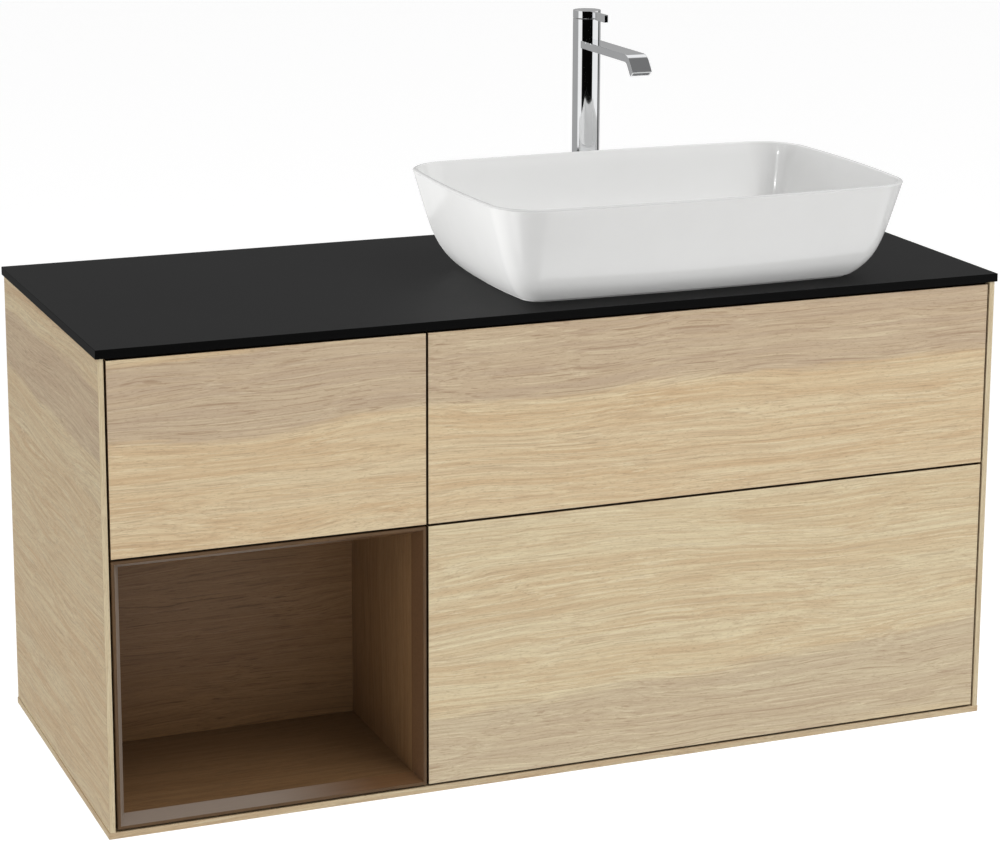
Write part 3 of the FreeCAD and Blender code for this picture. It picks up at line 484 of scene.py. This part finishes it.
def makeFronts():
    for name, shift in fronts["shift"].items():
        node = name + "_drawer_front"
        low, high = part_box(node)
        tone = lowerTone if name == "lower_right" else oak
        face = veneer(name + "Oak", tone, 0, shift, fronts["zones"][name], fronts["rise"][name])
        mesh = bmesh.new()
        board(mesh, low, high, fronts["ease"], edging=(1, 1))
        # the faces round each front's edge take the painted-shade brown
        piece(name + "_front", mesh, [face, shadedEdgeOak], node)


panels = {"edgeBand": 1.2 * mm, "ease": 0.35 * mm}


def makePanels():
    band, ease = panels["edgeBand"], panels["ease"]
    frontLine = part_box("upper_left_drawer_front")[0].y
    for side, sign in (("left", -1), ("right", 1)):
        node = side + "_side_panel"
        low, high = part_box(node)
        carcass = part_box("centre_partition")[0].y
        lip = 7 * mm
        outer = low.x if sign < 0 else high.x
        span = sorted((outer, outer - sign * lip))
        mesh = bmesh.new()
        board(mesh, (low.x, carcass, low.z), (high.x, high.y, high.z), ease)
        board(mesh, (span[0], frontLine + band, low.z), (span[1], carcass + ease * 2, high.z), ease)
        board(mesh, (span[0], frontLine, low.z), (span[1], frontLine + band, high.z), ease / 2, 1)
        piece(side + "_side", mesh, [sideOak, edgeOak], node)
    low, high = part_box("bottom_panel")
    skirt = 8 * mm
    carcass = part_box("centre_partition")[0].y
    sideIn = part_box("right_side_panel")[0].x
    mesh = bmesh.new()
    board(mesh, (low.x + band, low.y + band, low.z), (high.x - band, high.y, low.z + skirt), ease)
    board(mesh, (-sideIn, carcass, low.z + skirt), (sideIn, high.y, high.z), ease)
    board(mesh, (low.x, low.y, low.z), (high.x, low.y + band, low.z + skirt), ease / 2)
    for near, far in ((low.x, low.x + band), (high.x - band, high.x)):
        board(mesh, (near, low.y + band, low.z), (far, high.y, low.z + skirt), ease / 2, 1)
    piece("bottom", mesh, [bottomOak, sideOak], "bottom_panel")


worktop = {"ease": 0.7 * mm, "tapHole": 17.5 * mm, "wasteHole": 25.5 * mm}


def roundHole(spline, centre, radius, turns=48):
    spline.points.add(turns - 1)
    for i in range(turns):
        angle = 2 * math.pi * i / turns
        spline.points[i].co = (centre[0] + radius * math.cos(angle), centre[1] + radius * math.sin(angle), 0, 1)
    spline.use_cyclic_u = True


def makeWorktop():
    low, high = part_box("worktop")
    ease = worktop["ease"]
    plan = bpy.data.curves.new("worktopPlan", "CURVE")
    plan.dimensions = "2D"
    plan.fill_mode = "BOTH"
    plan.extrude = (high.z - low.z) / 2 - ease
    plan.bevel_depth = ease
    plan.bevel_resolution = 2
    plan.offset = -ease
    outline = plan.splines.new("POLY")
    corners = ((low.x, low.y), (high.x, low.y), (high.x, high.y), (low.x, high.y))
    outline.points.add(3)
    for point, (x, y) in zip(outline.points, corners):
        point.co = (x, y, 0, 1)
    outline.use_cyclic_u = True
    waste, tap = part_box("waste_body"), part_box("tap_body")
    for (first, second), radius in ((waste, worktop["wasteHole"]), (tap, worktop["tapHole"])):
        middle = (first + second) / 2
        roundHole(plan.splines.new("POLY"), middle, radius)
    shape = bpy.data.objects.new("worktopPlan", plan)
    bpy.context.scene.collection.objects.link(shape)
    bpy.context.view_layer.update()
    solid = bpy.data.meshes.new_from_object(shape.evaluated_get(bpy.context.evaluated_depsgraph_get()))
    bpy.data.objects.remove(shape)
    solid.transform(Matrix.Translation((0, 0, (low.z + high.z) / 2)))
    mesh = bmesh.new()
    mesh.from_mesh(solid)
    bmesh.ops.remove_doubles(mesh, verts=mesh.verts, dist=1e-6)
    for face in mesh.faces:
        face.normal_update()
        face.material_index = 0 if face.normal.z > 0.9 else 1
    piece("worktop_slab", mesh, [laminate, laminateEdge], "worktop")


# ---- niche ----

# haze is the colour of the painted grey reflection on the slanted bevel faces; the last key is the x span over which
# it fades into brown
niche = {"bevel": 12.5 * mm, "lip": 3.8 * mm, "edge": 0.5 * mm, "haze": "8A7C70", "reflectionFade": (-0.42, -0.24)}


def bevelPaintedReflection():
    # the lacquer on the slanted faces: brown stain with a painted grey reflection, strongest towards the cabinet's
    # left side and fading out to the right
    finish = Finish("bevelPaintedReflection")
    place = finish.coords()
    across = finish.node("ShaderNodeSeparateXYZ", sockets={"Vector": place}, output="X")
    fine = finish.noise(place, [1 / (60 * mm), 1 / (2 * mm), 1 / (2 * mm)], 2)
    fade = across.between(*niche["reflectionFade"])
    brown = finish.mix(fine, tint("553B24"), tint("6E4F33"))
    paintedReflection = finish.mix(fine, [channel * 0.9 for channel in tint(niche["haze"])[:3]] + [1], tint(niche["haze"]))
    finish.set(baseColor=finish.mix(fade, paintedReflection, brown), roughness=0.34 + fine * 0.06)
    return finish.bump(fine, 0.15, 0.05 * mm)


def makeNiche():
    low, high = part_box("niche_frame")
    depth = high.y - low.y
    lip, wide, edge = niche["lip"], niche["bevel"], niche["edge"]
    section = eased([(0, 0, edge), (lip, 0, edge), (wide, depth - 0.6 * mm, edge / 2), (wide, depth),
                     (0, depth)], steps=3)
    mesh = bmesh.new()
    rings = []
    for inset, back in section:
        rings.append([(low.x + inset, low.y + back, low.z + inset), (high.x - inset, low.y + back, low.z + inset),
                      (high.x - inset, low.y + back, high.z - inset), (low.x + inset, low.y + back, high.z - inset)])
    rows = [[mesh.verts.new(p) for p in ring] for ring in rings]
    for step, (first, second) in enumerate(zip(rows, rows[1:] + rows[:1])):
        # slanted faces take the finish with the painted grey reflection
        slanted = section[step][0] >= lip - 1e-6 and section[step - len(section) + 1][0] > lip
        for i in range(4):
            j = (i + 1) % 4
            face = mesh.faces.new([first[i], first[j], second[j], second[i]])
            face.material_index = 2 if slanted else i % 2
    piece("niche_bevel", mesh, [bevelOak, bevelUpright, bevelPaintedReflection()], "niche_frame")
    # the niche's floor, back and walls get the painted-light copies of the smoked oak
    dress(nicheFloor, "niche_floor")
    dress(nicheOak, "niche_ceiling")
    dress(nicheBack, "niche_back_panel")
    dress(nicheWall, "niche_left_wall", "niche_right_wall")


# ---- basin ----

bowl = {
    "cornerTop": 62 * mm, "cornerFoot": 24 * mm, "bow": 5 * mm, "draft": 36.5 * mm, "heel": 18 * mm,
    "sideStretch": 1.18, "wall": 7.5 * mm, "floor": 20 * mm, "foot": 3 * mm, "footInset": 5 * mm,
    "footWidth": 22 * mm, "footHollow": 7 * mm, "rimRound": 3.2 * mm, "floorRound": 26 * mm,
    "seatRadius": 33.2 * mm, "seatDepth": 3 * mm, "drainRadius": 23.5 * mm,
}


def basinRing(halfX, halfY, corner, height, centre):
    # rectangle with round corners and gently bowed sides
    bow = bowl["bow"]
    spanX, spanY = halfX - bow - corner, halfY - bow - corner
    ring = []
    for quarter, (signX, signY) in enumerate(((1, 1), (-1, 1), (-1, -1), (1, -1))):
        for step in range(19):
            angle = math.radians(90 * quarter + 5 * step)
            ring.append((signX * spanX + corner * math.cos(angle), signY * spanY + corner * math.sin(angle)))
        turn = 1 if quarter < 2 else -1
        for step in range(1, 28):
            share = 1 - step / 14
            swell = bow * (1 - share * share)
            if quarter % 2 == 0:
                ring.append((turn * spanX * share, signY * (spanY + corner + swell)))
            else:
                ring.append((signX * (spanX + corner + swell), turn * spanY * share))
    return [(centre.x + x, centre.y + y, centre.z + height) for x, y in ring]


def makeBasin():
    low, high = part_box("basin")
    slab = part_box("worktop")[1].z
    centre = Vector(((low.x + high.x) / 2, (low.y + high.y) / 2, slab))
    halfX, halfY = (high.x - low.x) / 2, (high.y - low.y) / 2 - 0.2 * mm
    seal, rise = low.z - slab, high.z - slab
    foot = seal + bowl["foot"]

    def ring(inset, height, climb, extra=0.0):
        corner = bowl["cornerFoot"] + (bowl["cornerTop"] - bowl["cornerFoot"]) * climb
        corner -= min(extra, corner / 3)
        shrink = inset * bowl["sideStretch"]
        return basinRing(halfX - inset - extra, halfY - shrink - extra, corner, height, centre)

    def wallInset(height, start):
        climb = (height - start) / (rise - start)
        return bowl["draft"] * (1 - height / rise) + bowl["heel"] * (1 - climb) ** 6, climb

    rings = []
    footInset = wallInset(foot, foot)[0] + bowl["footInset"]
    rings.append(ring(footInset + bowl["footWidth"], seal + bowl["footHollow"], 0))
    rings.append(ring(footInset + bowl["footWidth"], seal, 0))
    rings.append(ring(footInset, seal, 0))
    rings.append(ring(footInset - 0.3 * mm, foot - 0.4 * mm, 0))
    for step in range(25):
        climb = (step / 24) ** 1.8
        height = foot + (rise - bowl["rimRound"] - foot) * climb
        inset, share = wallInset(height, foot)
        if step == 0:
            rings.append(ring(inset + 1.2 * mm, height, 0))
        rings.append(ring(inset, height + (0.8 * mm if step == 0 else 0), share))
    rim, wall = bowl["rimRound"], bowl["wall"]
    for step in range(1, 6):
        angle = math.radians(90 * step / 5)
        rings.append(ring(rim * (1 - math.cos(angle)), rise - rim + rim * math.sin(angle), 1))
    for step in range(6):
        angle = math.radians(90 * step / 5)
        rings.append(ring(0, rise - rim + rim * math.cos(angle), 1,
                          wall - rim + rim * math.sin(angle)))
    rimRow = len(rings) - 6
    floor = bowl["floor"]
    line = []
    for step in range(1, 25):
        share = 1 - (step / 24)
        height = floor + (rise - rim - floor) * share ** 1.6
        inset, climb = wallInset(height, floor)
        line.append((inset, height, climb))
    for inset, height, climb in line:
        rings.append(ring(inset, height, climb, wall))
    last = rings[-1]
    seat, drain = bowl["seatRadius"], bowl["drainRadius"]
    middle = Vector((centre.x, centre.y, 0))
    around = []
    for x, y, z in last:
        way = Vector((x, y, 0)) - middle
        around.append(way)
    for share in (0.12, 0.3, 0.55, 0.8, 1.0):
        spots = []
        for way in around:
            reach = way.length * (1 - share) + seat * share
            spot = middle + way.normalized() * reach
            spots.append((spot.x, spot.y, centre.z + floor))
        rings.append(spots)
    for radius, height in ((seat, floor - bowl["seatDepth"]), (drain, floor - bowl["seatDepth"]),
                           (drain, seal + bowl["footHollow"])):
        rings.append([tuple((middle + way.normalized() * radius)[:2]) + (centre.z + height,) for way in around])
    mesh = bmesh.new()
    rows = skin(mesh, rings, False, False)
    bridge(mesh, rows[-1], rows[0])
    inside = {spot for row in rows[rimRow:] for spot in row}
    # faces inside the rim take the painted-light glaze, the rest take the painted-shade glaze
    for face in mesh.faces:
        face.material_index = 1 if all(spot in inside for spot in face.verts) else 0
    piece("basin_bowl", mesh, [shadedOuterGlaze, litInnerGlaze], "basin", sharp=50)


# ---- tap ----

tap = {
    "edge": 0.35 * mm, "capEdge": 0.5 * mm, "spoutEdge": 1.0 * mm, "bendRadius": 17 * mm, "skin": 2.4 * mm,
    "bend": 165.6 * mm, "reach": 182 * mm, "drop": 20.8 * mm, "mouthDepth": 4 * mm, "leverEdge": 0.6 * mm,
    "waterway": 12 * mm,
}


def makeTap():
    low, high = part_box("tap_body")
    axis = Vector(((low.x + high.x) / 2, (low.y + high.y) / 2, 0))
    radius = (high.x - low.x) / 2
    edge = tap["edge"]
    mesh = bmesh.new()
    bore = radius - 3.6 * mm
    lathe(mesh, [(bore, low.z), (radius, low.z, edge), (radius, high.z, edge), (bore, high.z, edge)], axis,
          steps=128)
    piece("tap_column", mesh, [chrome], "tap_body", sharp=50)

    low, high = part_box("tap_cap")
    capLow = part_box("tap_lever")[0].z
    stem = 3.5 * mm
    mesh = bmesh.new()
    edge = tap["capEdge"]
    lathe(mesh, [(0, low.z), (stem, low.z), (stem, capLow), (radius, capLow, edge), (radius, high.z, edge),
                 (0, high.z)], axis, steps=128)
    piece("tap_top_cap", mesh, [chrome], "tap_cap", sharp=50)

    low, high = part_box("tap_lever")
    section = eased([(low.x, low.z, tap["leverEdge"]), (high.x, low.z, tap["leverEdge"]),
                     (high.x, high.z, tap["leverEdge"]), (low.x, high.z, tap["leverEdge"])])
    rings = []
    nose = tap["leverEdge"]
    middle = Vector(((low.x + high.x) / 2, (low.z + high.z) / 2))
    for along, pull in ((None, 0), (axis.y - radius - 4 * mm, 0), (low.y + nose, 0), (low.y + nose * 0.3, nose * 0.3),
                        (low.y, nose)):
        ring = []
        for x, z in section:
            px = middle.x + (x - middle.x) * (1 - pull / (middle.x - low.x))
            pz = middle.y + (z - middle.y) * (1 - pull / (middle.y - low.z))
            y = axis.y - math.sqrt(radius ** 2 - (x - axis.x) ** 2) if along is None else along
            ring.append((px, y, pz))
        rings.append(ring)
    mesh = bmesh.new()
    skin(mesh, rings)
    piece("tap_lever_bar", mesh, [chrome], "tap_lever", sharp=50)
    makeSpout(axis, radius)


def makeSpout(axis, radius):
    low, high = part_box("tap_spout")
    width = high.x - low.x
    thick = 10.2 * mm
    slopeRun, slopeDrop = tap["reach"] - tap["bend"], tap["drop"]
    slope = math.hypot(slopeRun, slopeDrop)
    down = Vector((-slopeRun, -slopeDrop)) / slope
    inward = Vector((slopeDrop, -slopeRun)) / slope
    top = high.z
    lean = (slope - slopeRun) / slopeDrop
    half = thick / 2
    elbow = Vector((axis.y - tap["bend"] + half * lean, top - half))
    mouth = Vector((axis.y - tap["reach"], top - slopeDrop)) + inward * half
    path = eased([(axis.y - radius - 3 * mm, top - half), (elbow[0], elbow[1], tap["bendRadius"]),
                  (mouth[0], mouth[1])], closed=False, steps=10)
    edge = tap["spoutEdge"]

    def section(pull=0.0, round=edge):
        w, h = width / 2 - pull, half - pull
        return eased([(-w, -h, round), (w, -h, round), (w, h, round), (-w, h, round)])

    def ringAt(spot, ahead, outline):
        normal = Vector((ahead[1], -ahead[0]))
        if normal[1] < 0:
            normal = -normal
        return [(axis.x + a, spot[0] + normal[0] * b, spot[1] + normal[1] * b) for a, b in outline]

    rings = []
    outline = section()
    root = [(axis.x + a, axis.y - math.sqrt(radius ** 2 - min(abs(a), radius) ** 2) + 0.1 * mm, top - half + b)
            for a, b in outline]
    rings.append(root)
    for i, spot in enumerate(path):
        before = path[max(i - 1, 0)]
        after = path[min(i + 1, len(path) - 1)]
        ahead = (after - before).normalized()
        if i == len(path) - 1:
            rings.append(ringAt(spot - down * edge * 0.5, down, outline))
            rings.append(ringAt(spot, down, section(edge * 0.5)))
            break
        rings.append(ringAt(spot, ahead, outline))
    inner = section(tap["skin"], 0.4 * mm)
    rings.append(ringAt(mouth, down, section(tap["skin"] - 0.3 * mm, 0.5 * mm)))
    rings.append(ringAt(mouth - down * 0.4 * mm, down, inner))
    rings.append(ringAt(mouth - down * tap["mouthDepth"], down, inner))
    mesh = bmesh.new()
    skin(mesh, rings)
    piece("tap_spout_arm", mesh, [chrome], "tap_spout", sharp=50)


# ---- the rest of the CAD nodes ----

def soften(node, finish, ease=0.4 * mm):
    # the node's own shape with its sharp edges eased, as on lipped boards and folded sheet
    mesh = bmesh.new()
    mesh.from_mesh(frame["nodes"][node].data)
    bmesh.ops.remove_doubles(mesh, verts=mesh.verts, dist=1e-6)
    bmesh.ops.dissolve_limit(mesh, angle_limit=math.radians(1), verts=mesh.verts, edges=mesh.edges)
    sharp = [edge for edge in mesh.edges if edge.is_manifold and edge.calc_face_angle_signed() > math.radians(40)]
    bmesh.ops.bevel(mesh, geom=sharp, offset=ease, segments=2, profile=0.5, affect="EDGES", clamp_overlap=True)
    for face in mesh.faces:
        face.material_index = 0
    piece(node + "_eased", mesh, [finish], node)


def dressRest():
    drawers = ("upper_left", "upper_right", "lower_right")
    for node in ("centre_partition", "front_rail", "rear_rail", "hanging_rail"):
        soften(node, carcassFilm)
    dress(zinc, "wall_plates", "cabinet_rails")
    dress(castZinc, "hanger_brackets")
    dress(greyPlastic, "latch_cases", "tap_aerator", "cartridge_carrier")
    dress(sealRubber, "basin_seal", "tap_seal_ring")
    dress(brass, "tap_shank", "cartridge_nut", "tap_fixing_set")
    dress(whitePlastic, "tap_cartridge")
    dress(chrome, "waste_body", "waste_cover", "trap_tailpipe", "trap_body", "trap_cup",
          "waste_and_trap_nuts", "trap_outlet_pipe", "wall_rosette")
    for name in drawers:
        soften(name + "_drawer_sides", drawerCoat, 0.8 * mm)
        soften(name + "_drawer_bottom", drawerFilm)
        soften(name + "_drawer_back", drawerFilm)
        dress(zinc, name + "_drawer_rails", name + "_mid_rails")
        dress(greyPlastic, name + "_latch_plunger")


# ---- camera, floor and lights ----

camera = {"place": (-1.3654, -3.6624, 0.8386), "azimuth": -21.846, "elevation": 12.541, "roll": 0.224,
          "lens": 103.659, "shift": -0.13}


def makeCamera():
    data = bpy.data.cameras.new("camera")
    data.lens = camera["lens"]
    data.sensor_width = 36
    data.shift_y = camera["shift"]
    data.clip_end = 200
    made = bpy.data.objects.new("camera", data)
    bpy.context.scene.collection.objects.link(made)
    turn = Matrix.Rotation(math.radians(camera["azimuth"]), 4, "Z")
    tilt = Matrix.Rotation(math.radians(90 - camera["elevation"]), 4, "X")
    roll = Matrix.Rotation(math.radians(camera["roll"]), 4, "Z")
    made.matrix_world = Matrix.Translation(camera["place"]) @ turn @ tilt @ roll
    bpy.context.scene.camera = made


studio = {
    "floorDrop": 1.0, "floorSize": 60, "floor": "F4F4F4", "floorGlow": 0.31,
    "zenith": 0.9, "horizon": 0.28, "ground": 0.75, "hood": 0.2, "overhead": 1.0,
    "lamps": {
        "key": {"power": 135, "size": 3.2, "place": (1.9, -2.4, 4.4), "glossy": False, "bowl": "without"},
        "sideFill": {"power": 165, "size": 2.0, "place": (-3.0, 1.4, -0.4), "glossy": False, "bowl": "only"},
        "underFill": {"power": 52, "size": 2.0, "place": (0.1, -0.15, -2.8), "glossy": False, "bowl": "only"},
        "crown": {"power": 26, "size": 1.2, "place": (1.6, -1.3, 2.0), "glossy": False, "bowl": "only"},
        "spark": {"power": 5, "size": 0.14, "place": (-2.3, -1.24, 1.5), "diffuse": False},
    },
    "flags": ((-98, 0.4), (-62, 1.0), (27, 0.002), (86, 1.0), (102, 0.02), (180, 0.4)),
}


def makeStudio():
    mesh = bmesh.new()
    size = studio["floorSize"]
    bmesh.ops.create_grid(mesh, x_segments=8, y_segments=8, size=size)
    data = bpy.data.meshes.new("floor")
    mesh.to_mesh(data)
    mesh.free()
    floor = bpy.data.objects.new("floor", data)
    floor.location.z = cadBox[0].z - studio["floorDrop"]
    bpy.context.scene.collection.objects.link(floor)
    paint = plainFinish("floorPaint", studio["floor"], 0.9, grit=4 * mm, mottle=0.005)
    paint.set(emissionColor=(1, 1, 1, 1), emissionStrength=studio["floorGlow"])
    data.materials.append(paint.material)
    floor.visible_glossy = False

    basin = bpy.data.objects["basin_bowl"]
    only, without = bpy.data.collections.new("bowlOnly"), bpy.data.collections.new("withoutBowl")
    for group in (only, without):
        group.objects.link(basin)
    without.collection_objects[0].light_linking.link_state = "EXCLUDE"
    for name, look in studio["lamps"].items():
        lamp = bpy.data.lights.new(name, "AREA")
        lamp.energy = look["power"]
        lamp.size = look["size"]
        made = bpy.data.objects.new(name, lamp)
        made.location = look["place"]
        aim = (basin.data.vertices[0].co if look.get("bowl") == "only" else Vector((0.1, -0.3, 0.1))) - made.location
        made.rotation_euler = aim.to_track_quat("-Z", "Y").to_euler()
        made.visible_glossy = look.get("glossy", True)
        made.visible_diffuse = look.get("diffuse", True)
        bpy.context.scene.collection.objects.link(made)
        if look.get("bowl") == "only":
            made.light_linking.receiver_collection = only
            made.light_linking.blocker_collection = only
        elif look.get("bowl") == "without":
            made.light_linking.receiver_collection = without

    world = bpy.data.worlds.new("studio")
    bpy.context.scene.world = world
    world.use_nodes = True
    sky = Finish("studio", world.node_tree)
    way = sky.node("ShaderNodeTexCoord", output="Generated")
    up = sky.node("ShaderNodeSeparateXYZ", sockets={"Vector": way}, output="Z")
    across = sky.node("ShaderNodeSeparateXYZ", sockets={"Vector": way}, output="X")
    depth = sky.node("ShaderNodeSeparateXYZ", sockets={"Vector": way}, output="Y")
    heading = across.calc("ARCTAN2", across, 0 - depth)
    dome = studio["horizon"] + up.between(0.0, 0.9) * (studio["zenith"] - studio["horizon"])
    dome = dome * (1 - up.between(0.0, -0.1)) + up.between(0.0, -0.1) * studio["ground"]
    stops, reached = [], 0.0
    for end, level in studio["flags"]:  # what polished metal mirrors, by heading
        fraction = end / 360 + 0.5
        stops += [(reached + 0.001, (level, level, level, 1)), (fraction - 0.001, (level, level, level, 1))]
        reached = fraction
    stripes = sky.node("ShaderNodeValToRGB", {"stops": stops}, {"Fac": heading / (2 * math.pi) + 0.5})
    stripes = sky.mix(up.between(0.55, 0.7), stripes, [studio["hood"]] * 3 + [1])
    behind = up.between(0.5, 0.6) * depth.between(0.1, 0.3)  # soft box above the wall side
    stripes = sky.mix(behind, stripes, [studio["overhead"]] * 3 + [1])
    rays = sky.tree.nodes.new("ShaderNodeLightPath")
    seen = Wire(sky, rays.outputs["Is Camera Ray"])
    mirrored = Wire(sky, rays.outputs["Is Glossy Ray"])
    light = sky.mix(mirrored, dome, stripes)
    light = sky.mix(seen, light, (1, 1, 1, 1))
    background = world.node_tree.nodes["Background"]
    sky.fill(background, {"Color": light})
    bpy.context.scene.view_settings.view_transform = "Standard"


makeCamera()
makeFronts()
makePanels()
makeWorktop()
makeNiche()
print("cabinet done")
makeBasin()
makeTap()
print("basin and tap done")
dressRest()
makeStudio()
print("studio ready")
